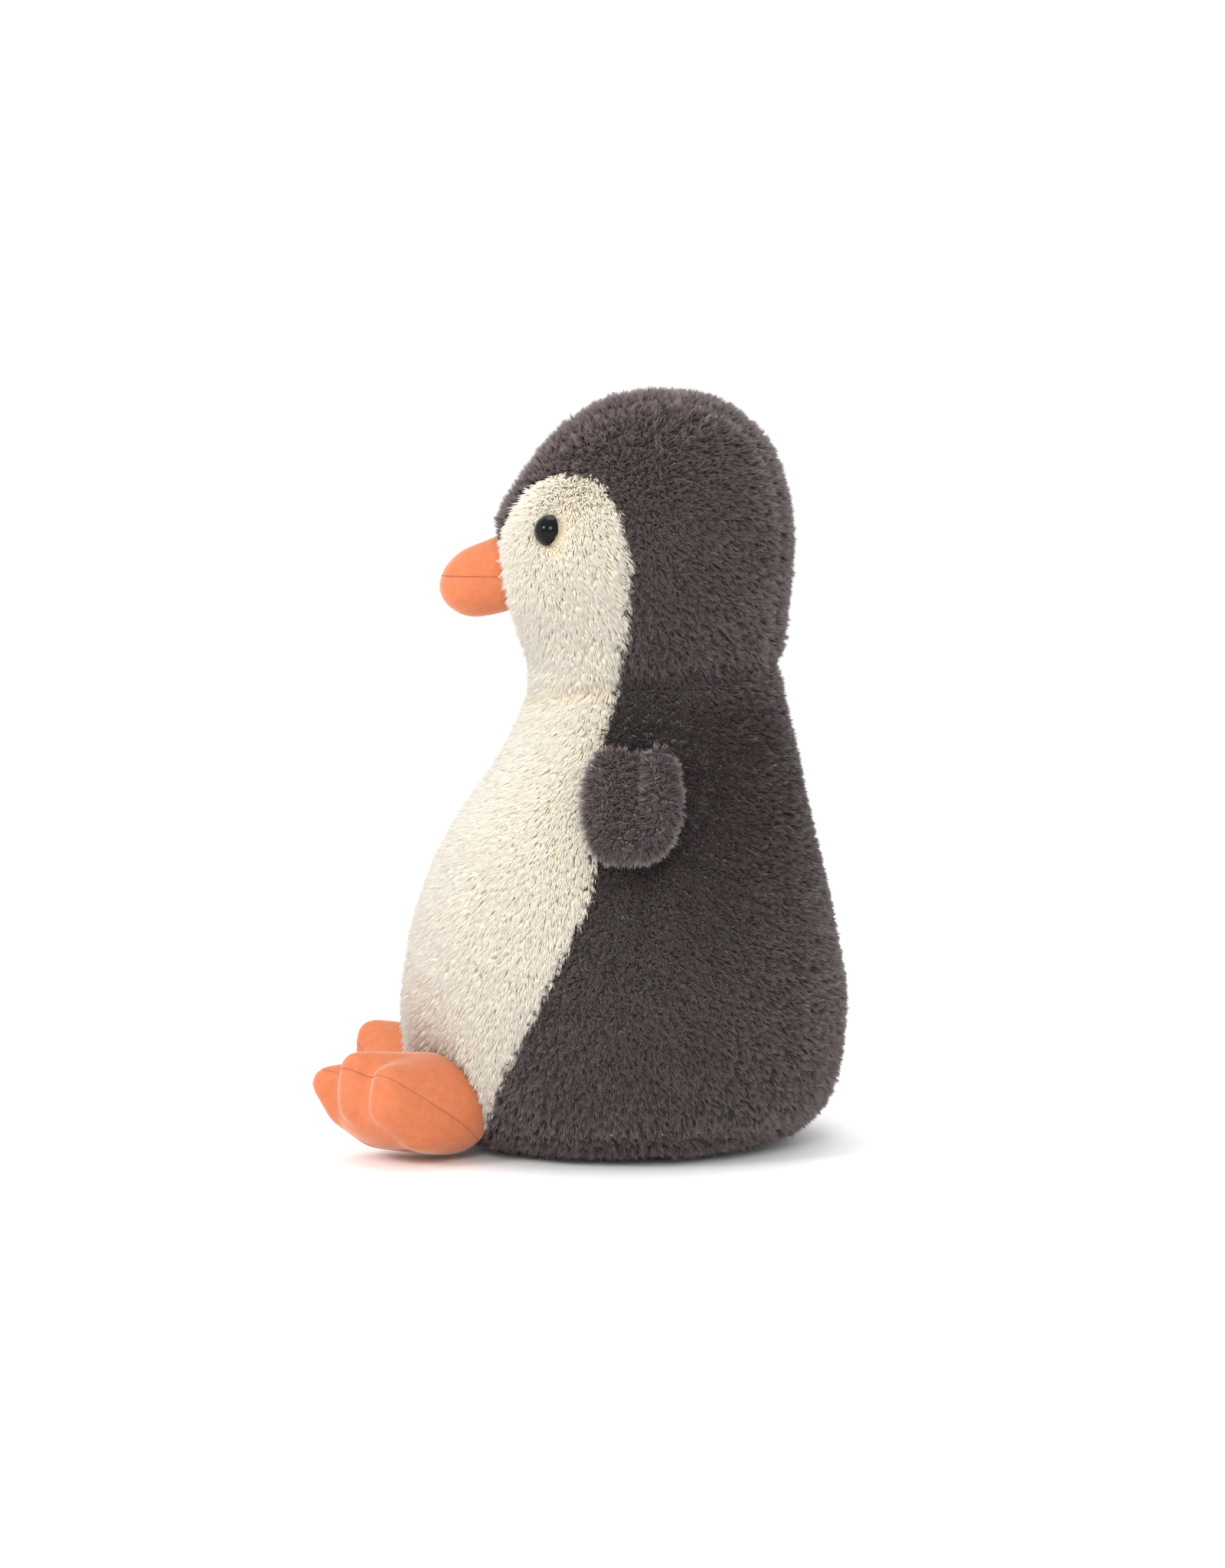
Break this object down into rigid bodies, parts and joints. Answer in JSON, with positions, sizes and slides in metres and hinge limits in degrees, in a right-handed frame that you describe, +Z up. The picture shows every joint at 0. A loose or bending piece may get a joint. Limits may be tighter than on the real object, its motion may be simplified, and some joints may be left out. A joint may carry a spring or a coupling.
{
  "type": "plush penguin",
  "caption": "Sitting plush penguin: charcoal back and hood, cream face and tummy, orange beak and splayed feet, short flippers.",
  "frame": {"origin": "on the floor, under the middle of the penguin's outline", "axes": "+Z up; the penguin faces -Y; +X is its own left side"},
  "size_m": [0.156, 0.1623, 0.2299],
  "materials": {
    "charcoal_plush": "short dense plush pile, matt",
    "cream_plush": "short dense plush pile, matt",
    "orange_suede": "brushed suede-like knit, matt",
    "eye_plastic": "polished",
    "washer_plastic": "moulded",
    "fibre_filling": "loose polyester fibre",
    "pouch_cloth": "thin non-woven cloth",
    "pellet_plastic": "small smooth beads"
  },
  "bodies": {
    "torso": {"tummy_panel": "cream_plush", "back_left": "charcoal_plush", "back_right": "charcoal_plush", "base_panel": "charcoal_plush", "torso_filling": "fibre_filling", "pellet_pouch": "pouch_cloth", "pellets": "pellet_plastic"},
    "head": {"hood_left": "charcoal_plush", "hood_right": "charcoal_plush", "crown_strip": "charcoal_plush", "face_left": "cream_plush", "face_right": "cream_plush", "beak_upper": "orange_suede", "beak_lower": "orange_suede", "beak_filling": "fibre_filling", "eye_left": "eye_plastic", "eye_right": "eye_plastic", "eye_washer_left": "washer_plastic", "eye_washer_right": "washer_plastic", "head_filling": "fibre_filling"},
    "flipper_left": {"flipper_left_outer": "charcoal_plush", "flipper_left_inner": "charcoal_plush", "flipper_left_filling": "fibre_filling"},
    "foot_left": {"foot_left_top": "orange_suede", "foot_left_sole": "orange_suede", "foot_left_filling": "fibre_filling"},
    "flipper_right": {"flipper_right_outer": "charcoal_plush", "flipper_right_inner": "charcoal_plush", "flipper_right_filling": "fibre_filling"},
    "foot_right": {"foot_right_top": "orange_suede", "foot_right_sole": "orange_suede", "foot_right_filling": "fibre_filling"}
  },
  "joints": [
    {"name": "head_nod", "type": "hinge", "parent": "torso", "child": "head", "pos_m": [0, 0.024, 0.111], "axis": [1, 0, 0], "range_deg": [-12, 12], "stiffness_Nm_per_rad": 0.3},
    {"name": "flipper_left_flap", "type": "hinge", "parent": "torso", "child": "flipper_left", "pos_m": [0.0494, 0.0115, 0.123], "axis": [0, -1, 0], "range_deg": [-3, 60], "stiffness_Nm_per_rad": 0.01},
    {"name": "foot_left_lift", "type": "hinge", "parent": "torso", "child": "foot_left", "pos_m": [0.0286, -0.0489, 0.0112], "axis": [-0.8229, -0.555, -0.1219], "range_deg": [-8, 8], "stiffness_Nm_per_rad": 0.05},
    {"name": "flipper_right_flap", "type": "hinge", "parent": "torso", "child": "flipper_right", "pos_m": [-0.0494, 0.0115, 0.123], "axis": [0, 1, 0], "range_deg": [-3, 60], "stiffness_Nm_per_rad": 0.01},
    {"name": "foot_right_lift", "type": "hinge", "parent": "torso", "child": "foot_right", "pos_m": [-0.0286, -0.0489, 0.0112], "axis": [-0.8229, 0.555, 0.1219], "range_deg": [-8, 8], "stiffness_Nm_per_rad": 0.05}
  ]
}
